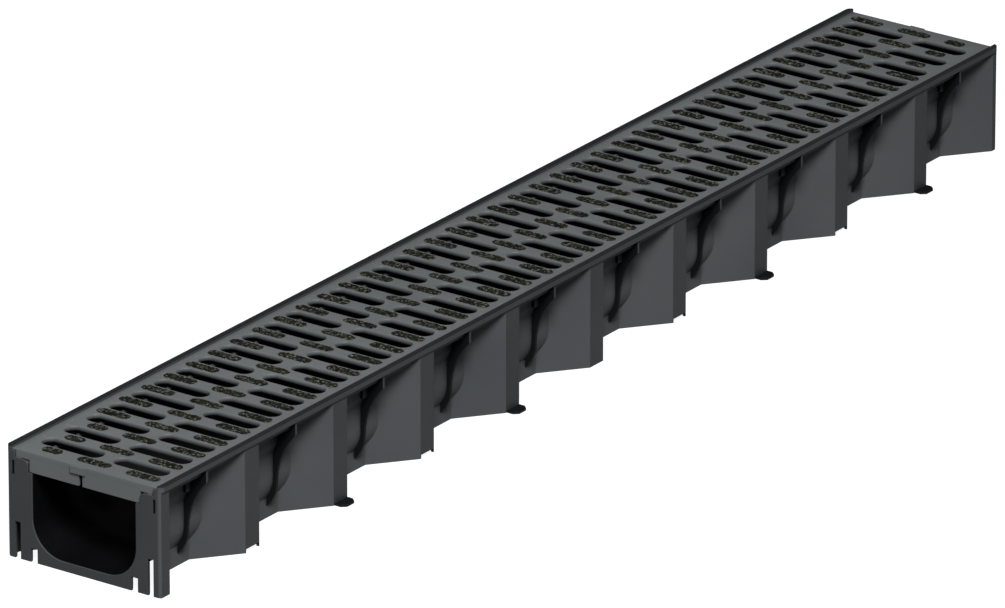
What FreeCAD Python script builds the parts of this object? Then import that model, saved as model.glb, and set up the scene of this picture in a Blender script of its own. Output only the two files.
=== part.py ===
import FreeCAD, Part
import os
import re
import Sketcher

# A one-metre plastic drainage channel and its slotted grating, in millimetres.
# X runs along the channel, Y across it and Z up. The origin is at the middle of the base, on the ground.

# Driving dimensions
SIZES = {
    # Channel, over everything but the ground lugs
    "channel_length": 1000.0,
    "channel_width": 129.5,
    "channel_height": 80.0,
    # Trough that carries the water
    "trough_width": 86.5,
    "trough_wall": 1.5,
    "trough_corner": 25.0,
    "floor_height": 6.5,
    # Shoulder, the thicker wall that carries the grating
    "shoulder_wall": 5.0,
    "flare_height": 49.5,
    "shoulder_height": 57.3,
    "shelf_height": 63.8,
    "shelf_width": 3.25,
    "seat_height": 72.5,
    "seat_round": 4.0,
    "flange_wall": 2.3,
    # Rim, a lip with a bead that stands out along its top
    "lip_recess": 5.25,
    "lip_wall": 1.9,
    "bead_height": 4.4,
    "bead_wall": 3.85,
    "rim_step": 1.6,
    "rim_overhang": 1.25,
    # Wings, the zigzag side walls
    "wing_pitch": 100.0,
    "first_wing": 2.3,
    "wing_flat": 15.6,
    "wing_run": 30.2,
    "wing_depth": 24.5,
    "wing_wall": 2.0,
    # Gussets that cross the channel between the wings
    "gusset_wall": 2.0,
    "gusset_waist": 95.0,
    "waist_height": 27.5,
    "gusset_sweep": 54.0,
    "gusset_belly": 25.0,
    "gusset_foot": 77.0,
    # Stiffening block beside some gussets
    "block_length": 5.0,
    "block_reach": 2.1,
    # Ground lugs and hand notches at the foot of the wings
    "module_length": 500.0,
    "lug_reach": 8.5,
    "lug_base": 14.0,
    "lug_tip": 8.0,
    "lug_shoulder": 5.0,
    "lug_wall": 1.8,
    "notch_width": 14.0,
    "notch_depth": 2.7,
    # End walls
    "end_wall": 2.2,
    "corner_round": 4.2,
    "leg_slot_place": 55.25,
    "leg_slot_width": 4.5,
    "leg_slot_height": 26.5,
    "foot_slot_place": 41.75,
    "foot_slot_width": 5.5,
    "foot_slot_height": 10.0,
    "tongue_slit_place": 58.6,
    "tongue_slit_width": 2.0,
    "tongue_slit_height": 10.0,
    # Grating
    "grating_set_back": 1.5,
    "grating_sink": 1.6,
    "grating_plate": 3.5,
    "grating_clearance": 0.5,
    "rest_clearance": 0.3,
    "edge_land": 0.7,
    "skirt_wall": 2.3,
    "rib_wall": 2.4,
    "rib_lift": 1.2,
    "slot_pitch": 25.0,
    "slot_width": 13.0,
    "slot_reach": 103.6,
    "web_width": 10.5,
    "web_offset": 2.8,
    # Grip pads on the grating
    "pad_width": 7.8,
    "pad_length": 26.4,
    "pad_height": 0.5,
    "pad_spread": 40.4,
    "short_pad": 15.5,
    # Coupling between gratings laid end to end
    "coupling_width": 12.0,
    "coupling_height": 5.0,
    "socket_length": 1.5,
    "socket_slit": 3.0,
    "slit_offset": 3.4,
    "socket_offset": 5.0,
}

# Places worked out from the driving dimensions, as expressions
NEAR_END = "(-channel_length / 2)"
FAR_END = "(channel_length / 2)"
RIM_SIDE = "(channel_width / 2)"
BEAD_INSIDE = "(channel_width / 2 - bead_wall)"
BEAD_UNDERSIDE = "(channel_height - bead_height)"
STEP_TOP = "(channel_height - bead_height + rim_step)"
LIP_SIDE = "(channel_width / 2 - lip_recess)"
LIP_INSIDE = "(channel_width / 2 - lip_recess - lip_wall)"
WING_SIDE = "(channel_width / 2 - rim_overhang)"
FLANGE_UNDERSIDE = "(seat_height - flange_wall)"
TROUGH_SIDE = "(trough_width / 2)"
TROUGH_OUTSIDE = "(trough_width / 2 + trough_wall)"
FLOOR_UNDERSIDE = "(floor_height - trough_wall)"
SHOULDER_SIDE = "(trough_width / 2 + shoulder_wall)"
SEAT_INSIDE = "(trough_width / 2 + shelf_width)"
WING_INSIDE = "(channel_width / 2 - rim_overhang - wing_depth)"
FIRST_WING = "(-channel_length / 2 + first_wing)"
FIRST_GUSSET = "(-channel_length / 2 + first_wing + wing_pitch / 2)"
# How far a bend shifts the inner line of a wall along X
WING_BEND = "(wing_wall * tan(atan(wing_depth / wing_run) / 2))"
WING_COUNT = "(ceil((channel_length - first_wing) / wing_pitch) + 1)"
GUSSET_COUNT = "(floor((channel_length - first_wing - wing_pitch / 2) / wing_pitch) + 1)"
MODULE_COUNT = "floor(channel_length / module_length)"
GRATING_LENGTH = "(channel_length - 2 * grating_set_back)"
GRATING_NEAR = "(-channel_length / 2 + grating_set_back)"
GRATING_FAR = "(channel_length / 2 - grating_set_back)"
GRATING_TOP = "(channel_height - grating_sink)"
PLATE_UNDERSIDE = "(channel_height - grating_sink - grating_plate)"
SKIRT_SIDE = "(trough_width / 2 + shelf_width - grating_clearance)"
SKIRT_FOOT = "(shelf_height + rest_clearance)"
ARM_FOOT = "(seat_height + rest_clearance)"
RIB_FOOT = "(shelf_height + rest_clearance + rib_lift)"
# Bays of two bars that fit between the end pieces, and the rows of slots at both ends of them
BAY_BARS = 2
BAY_LENGTH = f"({BAY_BARS} * slot_pitch)"
BAY_COUNT = f"floor((channel_length - 2 * slot_pitch) / {BAY_LENGTH})"
FIRST_SLOT = f"(-{BAY_COUNT} * {BAY_LENGTH} / 2)"
LAST_SLOT = f"({BAY_COUNT} * {BAY_LENGTH} / 2)"
FIRST_PAD = f"({FIRST_SLOT} - slot_pitch / 2)"
# Rows at one corner of each end whose outer pad is short
SHORT_ROWS = 3
# Flats that draw each round slot end
END_FLATS = 4

doc = FreeCAD.newDocument("drainage_channel")
sheet = doc.addObject("Spreadsheet::Sheet", "Sizes")
for row, (alias, size) in enumerate(SIZES.items(), start=1):
    sheet.set(f"A{row}", alias)
    sheet.set(f"B{row}", str(size))
    sheet.setAlias(f"B{row}", alias)
doc.recompute()


def tied(expression):
    """An expression whose size names point at the sheet's cells."""
    return re.sub(r"[a-z_]+", lambda word: f"Sizes.{word[0]}" if word[0] in SIZES else word[0], expression)


def number(expression):
    """The present value of an expression."""
    return float(sheet.evalExpression(tied(expression)))


def bind(sketch, kind, *geometry, to):
    """Adds one dimension to a sketch and ties it to the sheet."""
    index = sketch.addConstraint(Sketcher.Constraint(kind, *geometry, number(to)))
    sketch.setExpression(f"Constraints[{index}]", tied(to))


def pin(sketch, geometry, end, across=None, up=None):
    """Ties one end of a line or arc to its place in the sketch."""
    if across is not None:
        bind(sketch, "DistanceX", -1, 1, geometry, end, to=across)
    if up is not None:
        bind(sketch, "DistanceY", -1, 1, geometry, end, to=up)


def line(sketch, start, end):
    return sketch.addGeometry(Part.LineSegment(start, end), False)


def arc(sketch, centre, start, end):
    """An arc that runs anticlockwise from start to end."""
    circle = Part.Circle(centre, FreeCAD.Vector(0, 0, 1), (start - centre).Length)
    return sketch.addGeometry(Part.ArcOfCircle(circle, circle.parameter(start), circle.parameter(end)), False)


def join(sketch, first, first_end, second, second_end):
    sketch.addConstraint(Sketcher.Constraint("Coincident", first, first_end, second, second_end))


def outline(sketch, corners):
    """A closed outline through corners (across, up) or, between square sides, (across, up, radius)."""
    spots = [FreeCAD.Vector(number(c[0]), number(c[1]), 0) for c in corners]
    radii = [number(c[2]) if len(c) > 2 else 0.0 for c in corners]
    count = len(corners)
    arrivals = []
    leavings = []
    for i, spot in enumerate(spots):
        before = (spots[i - 1] - spot).normalize()
        after = (spots[(i + 1) % count] - spot).normalize()
        arrivals.append(spot + before * radii[i])
        leavings.append(spot + after * radii[i])
    sides = [line(sketch, leavings[i], arrivals[(i + 1) % count]) for i in range(count)]
    for i, corner in enumerate(corners):
        came, goes = sides[i - 1], sides[i]
        if not radii[i]:
            join(sketch, came, 2, goes, 1)
            pin(sketch, goes, 1, corner[0], corner[1])
            continue
        centre = arrivals[i] + leavings[i] - spots[i]
        left_turn = (spots[i] - arrivals[i]).cross(leavings[i] - spots[i]).z > 0
        bend_ends = (1, 2) if left_turn else (2, 1)
        bend = arc(sketch, centre, *((arrivals[i], leavings[i]) if left_turn else (leavings[i], arrivals[i])))
        sketch.addConstraint(Sketcher.Constraint("Tangent", came, 2, bend, bend_ends[0]))
        sketch.addConstraint(Sketcher.Constraint("Tangent", bend, bend_ends[1], goes, 1))
        bind(sketch, "Radius", bend, to=corner[2])
        came_upright = abs(spots[i - 1].x - spots[i].x) < abs(spots[i - 1].y - spots[i].y)
        if came_upright:
            pin(sketch, came, 2, across=corner[0])
            pin(sketch, goes, 1, up=corner[1])
        else:
            pin(sketch, came, 2, up=corner[1])
            pin(sketch, goes, 1, across=corner[0])


def mirrored_outline(sketch, half):
    """A closed outline of the corners given and their mirror images across the upright axis."""
    outline(sketch, half + [(f"-({c[0]})", *c[1:]) for c in reversed(half)])


def rectangle(sketch, left, right, low, high):
    outline(sketch, [(left, low), (right, low), (right, high), (left, high)])


def slot_loop(sketch, along, low, high, width):
    """A slot whose long axis runs up the sketch, each round end drawn with a few flats."""
    corners = []
    for step in range(2 * (END_FLATS + 1)):
        at_top = step <= END_FLATS
        angle = 180 / END_FLATS * (step if at_top else step - 1)
        centre = f"({high}) - {width} / 2" if at_top else f"({low}) + {width} / 2"
        corners.append((f"{along} + {width} / 2 * cos({angle})", f"{centre} + {width} / 2 * sin({angle})"))
    outline(sketch, corners)


def pad_loops(sketch, place):
    """The outlines of the three grip pads on one bar."""
    for middle in ("-pad_spread", "0", "pad_spread"):
        rectangle(
            sketch, f"{place} - pad_width / 2", f"{place} + pad_width / 2",
            f"{middle} - pad_length / 2", f"{middle} + pad_length / 2",
        )


def origin_part(body, role):
    return next(feature for feature in body.Origin.OriginFeatures if feature.Role == role)


def sketch_on(body, name, plane, offset="0"):
    """A sketch of a body on one of its own origin planes, moved along the plane's normal."""
    sketch = body.newObject("Sketcher::SketchObject", name)
    sketch.AttachmentSupport = [(origin_part(body, plane), "")]
    sketch.MapMode = "FlatFace"
    sketch.AttachmentOffset = FreeCAD.Placement(FreeCAD.Vector(0, 0, number(offset)), FreeCAD.Rotation())
    sketch.setExpression("AttachmentOffset.Base.z", tied(offset))
    return sketch


def pad(body, sketch, length):
    feature = body.newObject("PartDesign::Pad", f"{sketch.Name}_pad")
    feature.Profile = sketch
    feature.Length = number(length)
    feature.setExpression("Length", tied(length))
    feature.Refine = False
    doc.recompute()
    return feature


def pocket(body, sketch, length=None, forward=False, refine=False):
    """A cut against the sketch's normal, or along it when forward, right through unless a length is given."""
    before = body.Shape.Volume
    feature = body.newObject("PartDesign::Pocket", f"{sketch.Name}_cut")
    feature.Profile = sketch
    feature.Reversed = forward
    feature.Refine = refine
    if length is None:
        feature.Type = "ThroughAll"
    else:
        feature.Length = number(length)
        feature.setExpression("Length", tied(length))
    doc.recompute()
    if feature.Shape.Volume >= before:
        raise RuntimeError(f"{feature.Name} removes nothing")
    return feature


def repeat(body, features, spacing, count):
    """Copies of some features along X."""
    pattern = body.newObject("PartDesign::LinearPattern", f"{features[0].Name}_row")
    pattern.Originals = features
    pattern.Direction = (origin_part(body, "X_Axis"), [""])
    pattern.Mode = "Spacing"
    pattern.setExpression("Offset", tied(spacing))
    pattern.setExpression("Occurrences", tied(count))
    pattern.Refine = False
    body.Tip = pattern
    doc.recompute()
    return pattern


def make_channel():
    """The channel, one moulding: trough, shoulders, rims, zigzag wings, gussets and end walls."""
    body = doc.addObject("PartDesign::Body", "channel_body")
    body.Label = "channel_body"

    # Outer section of trough, shoulders and rims, filled in until the waterway is cut
    section = sketch_on(body, "section", "YZ_Plane", NEAR_END)
    mirrored_outline(section, [
        (TROUGH_OUTSIDE, FLOOR_UNDERSIDE, "trough_corner + trough_wall"),
        (TROUGH_OUTSIDE, "flare_height"),
        (SHOULDER_SIDE, "shoulder_height"),
        (SHOULDER_SIDE, FLANGE_UNDERSIDE),
        (LIP_SIDE, FLANGE_UNDERSIDE),
        (LIP_SIDE, BEAD_UNDERSIDE),
        (RIM_SIDE, BEAD_UNDERSIDE),
        (RIM_SIDE, "channel_height"),
    ])
    pad(body, section, "channel_length")

    # Walls that close both ends round the waterway
    for name, start in (("near_end", NEAR_END), ("far_end", f"{FAR_END} - end_wall")):
        wall = sketch_on(body, name, "YZ_Plane", start)
        rectangle(wall, f"-{WING_SIDE}", WING_SIDE, "0", BEAD_UNDERSIDE)
        pad(body, wall, "end_wall")

    # One wave of each zigzag side wall, repeated past the far end and trimmed there
    wings = sketch_on(body, "wings", "XY_Plane")
    half_flat = "wing_flat / 2"
    for side in ("1", "-1"):
        wave = [
            ("-wing_pitch / 2", WING_INSIDE),
            (f"-({half_flat} + wing_run)", WING_INSIDE),
            (f"-({half_flat})", WING_SIDE),
            (half_flat, WING_SIDE),
            (f"{half_flat} + wing_run", WING_INSIDE),
            ("wing_pitch / 2", WING_INSIDE),
            ("wing_pitch / 2", f"{WING_INSIDE} - wing_wall"),
            (f"{half_flat} + wing_run - {WING_BEND}", f"{WING_INSIDE} - wing_wall"),
            (f"{half_flat} - {WING_BEND}", f"{WING_SIDE} - wing_wall"),
            (f"-({half_flat} - {WING_BEND})", f"{WING_SIDE} - wing_wall"),
            (f"-({half_flat} + wing_run - {WING_BEND})", f"{WING_INSIDE} - wing_wall"),
            ("-wing_pitch / 2", f"{WING_INSIDE} - wing_wall"),
        ]
        outline(wings, [(f"{FIRST_WING} + {x}", f"{side} * ({y})") for x, y in wave])
    repeat(body, [pad(body, wings, BEAD_UNDERSIDE)], "wing_pitch", WING_COUNT)

    # What the zigzag reaches past both ends is trimmed
    for name, place, forward in (("near_trim", NEAR_END, False), ("far_trim", FAR_END, True)):
        trim = sketch_on(body, name, "YZ_Plane", place)
        rectangle(trim, "-channel_width", "channel_width", "-channel_height", "2 * channel_height")
        pocket(body, trim, forward=forward)

    # Upright corners of the end walls, rounded
    corners = sketch_on(body, "corner_rounds", "XY_Plane")
    for end in (-1, 1):
        for side in (-1, 1):
            tip = FreeCAD.Vector(end * number(FAR_END), side * number(RIM_SIDE), 0)
            radius = number("corner_round")
            inward = FreeCAD.Vector(-end * radius, 0, 0)
            across = FreeCAD.Vector(0, -side * radius, 0)
            centre_place = (f"{end} * ({FAR_END} - corner_round)", f"{side} * ({RIM_SIDE} - corner_round)")
            turn = ((tip + inward), (tip + across)) if end * side < 0 else ((tip + across), (tip + inward))
            bend = arc(corners, tip + inward + across, *turn)
            side_end, face_end = (1, 2) if end * side < 0 else (2, 1)
            side_leg = line(corners, tip, tip + inward)
            face_leg = line(corners, tip, tip + across)
            join(corners, side_leg, 1, face_leg, 1)
            join(corners, side_leg, 2, bend, side_end)
            join(corners, face_leg, 2, bend, face_end)
            pin(corners, side_leg, 1, f"{end} * {FAR_END}", f"{side} * {RIM_SIDE}")
            pin(corners, bend, 3, *centre_place)
            bind(corners, "Radius", bend, to="corner_round")
            pin(corners, bend, side_end, across=centre_place[0])
            pin(corners, bend, face_end, up=centre_place[1])
    pocket(body, corners, forward=True)

    # Stiffening blocks on the shoulder beside three gussets of each half-metre module
    blocks = sketch_on(body, "blocks", "XY_Plane", "shoulder_height")
    for bay in (0, 2, 4):
        block_end = f"{FIRST_GUSSET} - gusset_wall / 2 + {bay} * wing_pitch"
        for inner, outer in (
            (f"{SHOULDER_SIDE} - trough_wall", f"{SHOULDER_SIDE} + block_reach"),
            (f"-({SHOULDER_SIDE} + block_reach)", f"-({SHOULDER_SIDE} - trough_wall)"),
        ):
            rectangle(blocks, f"{block_end} - block_length", block_end, inner, outer)
    block_pads = pad(body, blocks, f"{FLANGE_UNDERSIDE} - shoulder_height")

    # Ground lugs at the foot of two wings of each module
    lugs = sketch_on(body, "lugs", "XY_Plane")
    tab = [
        ("-lug_base / 2", f"{WING_SIDE} - wing_wall"),
        ("lug_base / 2", f"{WING_SIDE} - wing_wall"),
        ("lug_base / 2", f"{WING_SIDE} + lug_shoulder"),
        ("lug_tip / 2", f"{WING_SIDE} + lug_reach"),
        ("-lug_tip / 2", f"{WING_SIDE} + lug_reach"),
        ("-lug_base / 2", f"{WING_SIDE} + lug_shoulder"),
    ]
    for wing in (2, 4):
        for side in (1, -1):
            outline(lugs, [(f"{FIRST_WING} + {wing} * wing_pitch + {x}", f"{side} * ({y})") for x, y in tab])
    lug_pads = pad(body, lugs, "lug_wall")

    # Notches at the foot of two other wings of each module
    notches = sketch_on(body, "notches", "XY_Plane")
    for wing in (1, 3):
        notch_place = f"{FIRST_WING} + {wing} * wing_pitch"
        for inner, outer in (
            (f"{WING_SIDE} - 2 * wing_wall", f"{WING_SIDE} + wing_wall"),
            (f"-({WING_SIDE} + wing_wall)", f"-({WING_SIDE} - 2 * wing_wall)"),
        ):
            rectangle(
                notches, f"{notch_place} - notch_width / 2", f"{notch_place} + notch_width / 2", inner, outer
            )
    notch_cuts = pocket(body, notches, "notch_depth", forward=True)
    repeat(body, [block_pads, lug_pads, notch_cuts], "module_length", MODULE_COUNT)

    # Slots in the near end wall that take the next channel's tongues
    slots = sketch_on(body, "end_slots", "YZ_Plane", NEAR_END)
    for side in ("1", "-1"):
        for place, width, low, high in (
            ("leg_slot_place", "leg_slot_width", "-wing_wall", "leg_slot_height"),
            ("foot_slot_place", "foot_slot_width", "-wing_wall", "foot_slot_height"),
            ("tongue_slit_place", "tongue_slit_width", f"{FLANGE_UNDERSIDE} - tongue_slit_height", FLANGE_UNDERSIDE),
        ):
            rectangle(
                slots, f"{side} * {place} - {width} / 2", f"{side} * {place} + {width} / 2", low, high
            )
    pocket(body, slots, "end_wall", forward=True)

    # Half of one gusset: a foot, a belly that follows the trough and a sweep out to the rim
    gusset = sketch_on(body, "gusset", "YZ_Plane", f"{FIRST_GUSSET} - gusset_wall / 2")
    waist, height = number("gusset_waist / 2"), number("waist_height")
    belly, sweep = number("gusset_belly"), number("gusset_sweep")
    foot, rim, top = number("gusset_foot / 2"), number(WING_SIDE), number(BEAD_UNDERSIDE)
    belly_centre = FreeCAD.Vector(waist - belly, height, 0)
    sweep_centre = FreeCAD.Vector(waist + sweep, height, 0)
    waist_spot = FreeCAD.Vector(waist, height, 0)
    heel = FreeCAD.Vector(foot, height - (belly ** 2 - (foot - belly_centre.x) ** 2) ** 0.5, 0)
    toe = FreeCAD.Vector(rim, height + (sweep ** 2 - (rim - sweep_centre.x) ** 2) ** 0.5, 0)
    corners = [FreeCAD.Vector(*p, 0) for p in ((0, 0), (foot, 0), (rim, top), (0, top))]
    ground = line(gusset, corners[0], corners[1])
    leg = line(gusset, corners[1], heel)
    belly_arc = arc(gusset, belly_centre, heel, waist_spot)
    sweep_arc = arc(gusset, sweep_centre, toe, waist_spot)
    edge = line(gusset, toe, corners[2])
    head = line(gusset, corners[2], corners[3])
    middle = line(gusset, corners[3], corners[0])
    for first, first_end, second, second_end in (
        (ground, 2, leg, 1), (leg, 2, belly_arc, 1), (belly_arc, 2, sweep_arc, 2), (sweep_arc, 1, edge, 1),
        (edge, 2, head, 1), (head, 2, middle, 1), (middle, 2, ground, 1),
    ):
        join(gusset, first, first_end, second, second_end)
    pin(gusset, ground, 1, "0", "0")
    pin(gusset, leg, 1, "gusset_foot / 2", "0")
    pin(gusset, belly_arc, 1, across="gusset_foot / 2")
    pin(gusset, belly_arc, 3, "gusset_waist / 2 - gusset_belly", "waist_height")
    bind(gusset, "Radius", belly_arc, to="gusset_belly")
    pin(gusset, belly_arc, 2, up="waist_height")
    pin(gusset, sweep_arc, 3, up="waist_height")
    bind(gusset, "Radius", sweep_arc, to="gusset_sweep")
    pin(gusset, sweep_arc, 1, across=WING_SIDE)
    pin(gusset, head, 1, WING_SIDE, BEAD_UNDERSIDE)
    pin(gusset, head, 2, "0", BEAD_UNDERSIDE)
    half_gusset = pad(body, gusset, "gusset_wall")
    gussets = body.newObject("PartDesign::MultiTransform", "gussets")
    gussets.Originals = [half_gusset]
    other_half = body.newObject("PartDesign::Mirrored", "gusset_other_half")
    other_half.MirrorPlane = (origin_part(body, "XZ_Plane"), [""])
    along = body.newObject("PartDesign::LinearPattern", "gusset_row")
    along.Direction = (origin_part(body, "X_Axis"), [""])
    along.Mode = "Spacing"
    along.setExpression("Offset", tied("wing_pitch"))
    along.setExpression("Occurrences", tied(GUSSET_COUNT))
    gussets.Transformations = [other_half, along]
    gussets.Refine = False
    body.Tip = gussets
    doc.recompute()

    # Waterway, with the shelf and seat for the grating above it
    waterway = sketch_on(body, "waterway", "YZ_Plane", FAR_END)
    mirrored_outline(waterway, [
        (TROUGH_SIDE, "floor_height", "trough_corner"),
        (TROUGH_SIDE, "shelf_height"),
        (SEAT_INSIDE, "shelf_height"),
        (SEAT_INSIDE, "seat_height", "seat_round"),
        (LIP_INSIDE, "seat_height"),
        (LIP_INSIDE, STEP_TOP),
        (BEAD_INSIDE, STEP_TOP),
        (BEAD_INSIDE, "channel_height"),
    ])
    pocket(body, waterway, refine=True)
    return body


def make_grating():
    """The grating, one moulding: a slotted plate with skirts, ribs and grip pads."""
    body = doc.addObject("PartDesign::Body", "grating")
    body.Label = "grating"

    # Plate with a thicker edge down each side, which rests on the seat: two end pieces and the first bay between
    for name, start, end in (
        ("near_plate", GRATING_NEAR, FIRST_SLOT), ("far_plate", LAST_SLOT, GRATING_FAR),
        ("plate", FIRST_SLOT, f"{FIRST_SLOT} + {BAY_LENGTH}"),
    ):
        section = sketch_on(body, name, "YZ_Plane", start)
        mirrored_outline(section, [
            ("slot_reach / 2 + edge_land", PLATE_UNDERSIDE),
            ("slot_reach / 2 + edge_land", "seat_height"),
            (f"{LIP_INSIDE} - grating_clearance", "seat_height"),
            (f"{LIP_INSIDE} - grating_clearance", f"{STEP_TOP} + rest_clearance"),
            (f"{BEAD_INSIDE} - grating_clearance", f"{STEP_TOP} + rest_clearance"),
            (f"{BEAD_INSIDE} - grating_clearance", GRATING_TOP),
        ])
        bay_plate = pad(body, section, f"{end} - {start}")

    # A skirt across each end, with arms over the seat that reach the thicker edges
    for name, start in (("near_skirt", GRATING_NEAR), ("far_skirt", f"{GRATING_FAR} - skirt_wall")):
        skirt = sketch_on(body, name, "YZ_Plane", start)
        mirrored_outline(skirt, [
            (SKIRT_SIDE, SKIRT_FOOT),
            (SKIRT_SIDE, ARM_FOOT),
            ("slot_reach / 2 + edge_land", ARM_FOOT),
            ("slot_reach / 2 + edge_land", PLATE_UNDERSIDE),
        ])
        pad(body, skirt, "skirt_wall")

    # Coupling: a tongue at the far end, and at the near end the socket that takes the next grating's tongue
    tongue = sketch_on(body, "tongue", "XY_Plane", f"{GRATING_TOP} - coupling_height")
    rectangle(tongue, f"{GRATING_FAR} - skirt_wall", FAR_END,
              "socket_offset - coupling_width / 2", "socket_offset + coupling_width / 2")
    pad(body, tongue, "coupling_height")
    socket = sketch_on(body, "socket", "XY_Plane", f"{GRATING_TOP} - coupling_height - pad_height")
    rectangle(socket, f"{GRATING_NEAR} - socket_length", f"{GRATING_NEAR} + skirt_wall",
              "socket_offset - coupling_width / 2", "socket_offset + coupling_width / 2")
    pad(body, socket, "coupling_height")
    slit = sketch_on(body, "socket_slit", "YZ_Plane", f"{GRATING_NEAR} - socket_length")
    rectangle(slit, "slit_offset - socket_slit / 2", "slit_offset + socket_slit / 2",
              f"{SKIRT_FOOT} - skirt_wall", f"{GRATING_TOP} - coupling_height - pad_height")
    pocket(body, slit, "socket_length + skirt_wall", forward=True)

    # Grip pads in rows of three on both end pieces
    ends = sketch_on(body, "end_pads", "XY_Plane", GRATING_TOP)
    for place in (FIRST_PAD, f"{LAST_SLOT} + slot_pitch / 2"):
        pad_loops(ends, place)
    pad(body, ends, "pad_height")

    # Bay: a rib under each bar, its ends between the walls of the seat, and a row of pads on it
    ribs = sketch_on(body, "ribs", "XY_Plane", RIB_FOOT)
    grips = sketch_on(body, "pads", "XY_Plane", GRATING_TOP)
    for bar in range(BAY_BARS):
        place = f"{FIRST_SLOT} + {bar + 0.5} * slot_pitch"
        rectangle(ribs, f"{place} - rib_wall / 2", f"{place} + rib_wall / 2", f"-{SKIRT_SIDE}", SKIRT_SIDE)
        pad_loops(grips, place)
    bay_ribs = pad(body, ribs, f"{PLATE_UNDERSIDE} - {RIB_FOOT}")
    bay_pads = pad(body, grips, "pad_height")

    # Bay: slots in pairs, the web between them to one side of the middle and then the other
    pairs = sketch_on(body, "slots", "XY_Plane", GRATING_TOP)
    for line_number in range(BAY_BARS + 1):
        place = f"{FIRST_SLOT} + {line_number} * slot_pitch"
        web = f"{(-1) ** (line_number + 1)} * web_offset"
        slot_loop(pairs, place, f"{web} + web_width / 2", "slot_reach / 2", "slot_width")
        slot_loop(pairs, place, "-slot_reach / 2", f"{web} - web_width / 2", "slot_width")
    bay_slots = pocket(body, pairs, "grating_plate")

    # Bays from the first row of slots to the last, their faces left apart so that none has many holes
    repeat(body, [bay_plate, bay_ribs, bay_pads, bay_slots], BAY_LENGTH, BAY_COUNT)

    # Outer pads cut short in the rows by two opposite corners
    trims = sketch_on(body, "short_pads", "XY_Plane", f"{GRATING_TOP} + pad_height")
    short_end = "(pad_spread - pad_length / 2 + short_pad)"
    rows_length = f"{SHORT_ROWS} * slot_pitch"
    near_edge = f"{FIRST_PAD} - slot_pitch / 2"
    far_edge = f"{LAST_SLOT} + slot_pitch"
    rectangle(trims, near_edge, f"{near_edge} + {rows_length}", short_end, RIM_SIDE)
    rectangle(trims, f"{far_edge} - {rows_length}", far_edge, f"-{RIM_SIDE}", f"-{short_end}")
    pocket(body, trims, "pad_height")
    return body


sub_parts = [make_channel(), make_grating()]
doc.recompute()

for item in doc.Objects:
    if "Invalid" in item.State or "Error" in item.State:
        raise RuntimeError(f"{item.Label} did not compute")
shapes = {sub_part.Label: sub_part.Shape for sub_part in sub_parts}
for label, shape in shapes.items():
    if shape.isNull() or not shape.isValid():
        raise RuntimeError(f"{label} has no sound shape")

os.makedirs("parts", exist_ok=True)
for label, shape in shapes.items():
    shape.exportStep(f"parts/{label}.step")
    print(label, len(shape.Solids), "solids", round(shape.Volume / 1000, 1), "cm3")
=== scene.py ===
import math

import bmesh
import bpy
from mathutils import Matrix, Vector


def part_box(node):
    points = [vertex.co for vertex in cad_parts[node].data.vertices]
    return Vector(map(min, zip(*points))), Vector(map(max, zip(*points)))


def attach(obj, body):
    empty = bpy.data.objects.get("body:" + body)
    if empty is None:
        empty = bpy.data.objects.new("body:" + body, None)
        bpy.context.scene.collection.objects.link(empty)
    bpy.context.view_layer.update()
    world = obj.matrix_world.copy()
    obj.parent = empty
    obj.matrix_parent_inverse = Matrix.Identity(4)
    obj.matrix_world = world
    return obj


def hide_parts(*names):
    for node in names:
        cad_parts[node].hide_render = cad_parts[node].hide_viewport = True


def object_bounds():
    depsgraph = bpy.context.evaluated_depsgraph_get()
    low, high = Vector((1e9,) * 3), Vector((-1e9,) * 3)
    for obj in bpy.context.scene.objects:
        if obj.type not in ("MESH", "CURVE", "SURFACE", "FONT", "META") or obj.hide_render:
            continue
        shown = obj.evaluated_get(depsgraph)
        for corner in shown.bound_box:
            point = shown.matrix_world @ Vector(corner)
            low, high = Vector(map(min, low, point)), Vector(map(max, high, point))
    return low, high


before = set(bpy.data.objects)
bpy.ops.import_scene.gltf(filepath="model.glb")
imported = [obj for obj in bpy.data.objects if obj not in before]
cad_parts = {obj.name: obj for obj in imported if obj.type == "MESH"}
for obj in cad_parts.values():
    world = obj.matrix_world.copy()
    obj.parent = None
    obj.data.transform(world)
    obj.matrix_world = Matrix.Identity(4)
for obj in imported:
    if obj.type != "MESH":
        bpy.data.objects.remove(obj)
cad_low, cad_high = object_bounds()
grating_low, grating_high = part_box("grating")

bl_info = {
    "name": "Drainage channel",
    "version": (1, 0, 0),
    "blender": (4, 5, 0),
    "location": "View3D > Sidebar > Drainage channel",
    "description": "Dresses a drainage channel: moulded body, slotted grating, grip pads and a white stage",
    "category": "Object",
}

# Distances in metres within which two places count as one
SAME = 0.00001
CLOSE = 0.00005
# How much of a normal lies along an axis, for a face that looks that way and for one that doesn't
ALONG = 0.9
ASIDE = 0.1
# How far the ribs reach into the plate, and the floor lies under the channel
OVERLAP = 0.0002
FLOOR_GAP = 0.0002
# Widths in metres of the soft edges of the finishes' masks
GUSSET_SOFT = 0.0002
SECTION_SOFT = 0.0003
EDGE_SOFT = 0.0004
TOP_SOFT = 0.0006
END_SOFT = 0.0008
# Waves of the grip pads' ragged outline, in radians per metre
RAGGED_ACROSS = 4100.0
RAGGED_SLANT = 2900.0


def length(name, description, default):
    """A size in metres that a user can change."""
    return bpy.props.FloatProperty(
        name=name, description=description, default=default, unit="LENGTH", precision=4
    )


def number(name, description, default):
    """A plain number that a user can change."""
    return bpy.props.FloatProperty(name=name, description=description, default=default)


def count_of(name, description, default):
    """A whole number that a user can change."""
    return bpy.props.IntProperty(name=name, description=description, default=default)


def angle(name, description, degrees):
    """An angle that a user can change."""
    return bpy.props.FloatProperty(
        name=name, description=description, default=math.radians(degrees), subtype="ANGLE"
    )


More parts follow.
